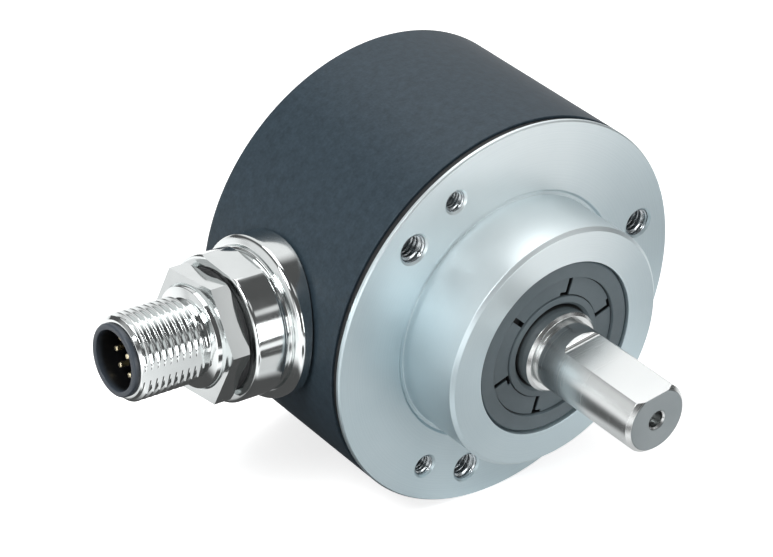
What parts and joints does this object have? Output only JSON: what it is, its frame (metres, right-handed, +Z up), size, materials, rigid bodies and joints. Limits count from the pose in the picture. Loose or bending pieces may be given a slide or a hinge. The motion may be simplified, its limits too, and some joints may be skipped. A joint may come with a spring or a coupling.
{
  "type": "absolute rotary encoder",
  "caption": "Round shaft encoder with a clamping flange, a D-cut shaft in a sealed spigot and a radial threaded plug connector.",
  "frame": {"origin": "centre of the flange's mounting face, on the shaft axis", "axes": "-Y along the shaft out of the flange, -X along the connector, +Z up as in the picture"},
  "size_m": [0.0822, 0.0614, 0.058],
  "materials": {
    "turned_aluminium": "satin, turned",
    "black_rubber": "matt",
    "grey_paint": "fine textured, semi-matt slate grey",
    "screw_steel": "plain",
    "seal_rubber": "moulded, matt dark grey",
    "plain_steel": "plain",
    "bearing_steel": "ground",
    "ground_steel": "ground stainless",
    "plain_brass": "turned",
    "disc_glass": "clear",
    "black_plastic": "moulded",
    "green_laminate": "solder mask",
    "lead_ribbon": "grey ribbon",
    "bright_nickel": "bright nickel plate",
    "contact_gold": "gold plate"
  },
  "bodies": {
    "housing": {"flange": "turned_aluminium", "flange_gasket": "black_rubber", "housing_cup": "grey_paint", "shaft_seal": "seal_rubber", "seal_case": "plain_steel", "front_bearing_outer_ring": "bearing_steel", "rear_bearing_outer_ring": "bearing_steel", "outer_spacer": "plain_steel", "bore_clip": "plain_steel", "lamp_holder": "black_plastic", "lamp_lens": "disc_glass", "circuit_board": "green_laminate", "read_head": "black_plastic", "board_parts": "black_plastic", "lead_header": "black_plastic", "connector_leads": "lead_ribbon", "board_posts": "plain_brass", "board_screws": "screw_steel", "saddle_washer": "plain_steel", "inner_nut": "bright_nickel", "saddle_gasket": "black_rubber", "connector_base": "bright_nickel", "connector_body": "bright_nickel", "nut_seal_ring": "black_rubber", "lock_nut": "bright_nickel", "thread_shell": "bright_nickel", "contact_insert": "black_plastic", "contact_pins": "contact_gold"},
    "shaft": {"shaft": "ground_steel", "front_bearing_inner_ring": "bearing_steel", "rear_bearing_inner_ring": "bearing_steel", "inner_spacer": "plain_steel", "shaft_clip": "plain_steel", "disc_hub": "plain_brass", "code_disc": "disc_glass", "hub_screw": "screw_steel"}
  },
  "joints": [
    {"name": "shaft_spin", "type": "hinge", "parent": "housing", "child": "shaft", "pos_m": [0, 0, 0], "axis": [0, -1, 0], "continuous": true}
  ]
}
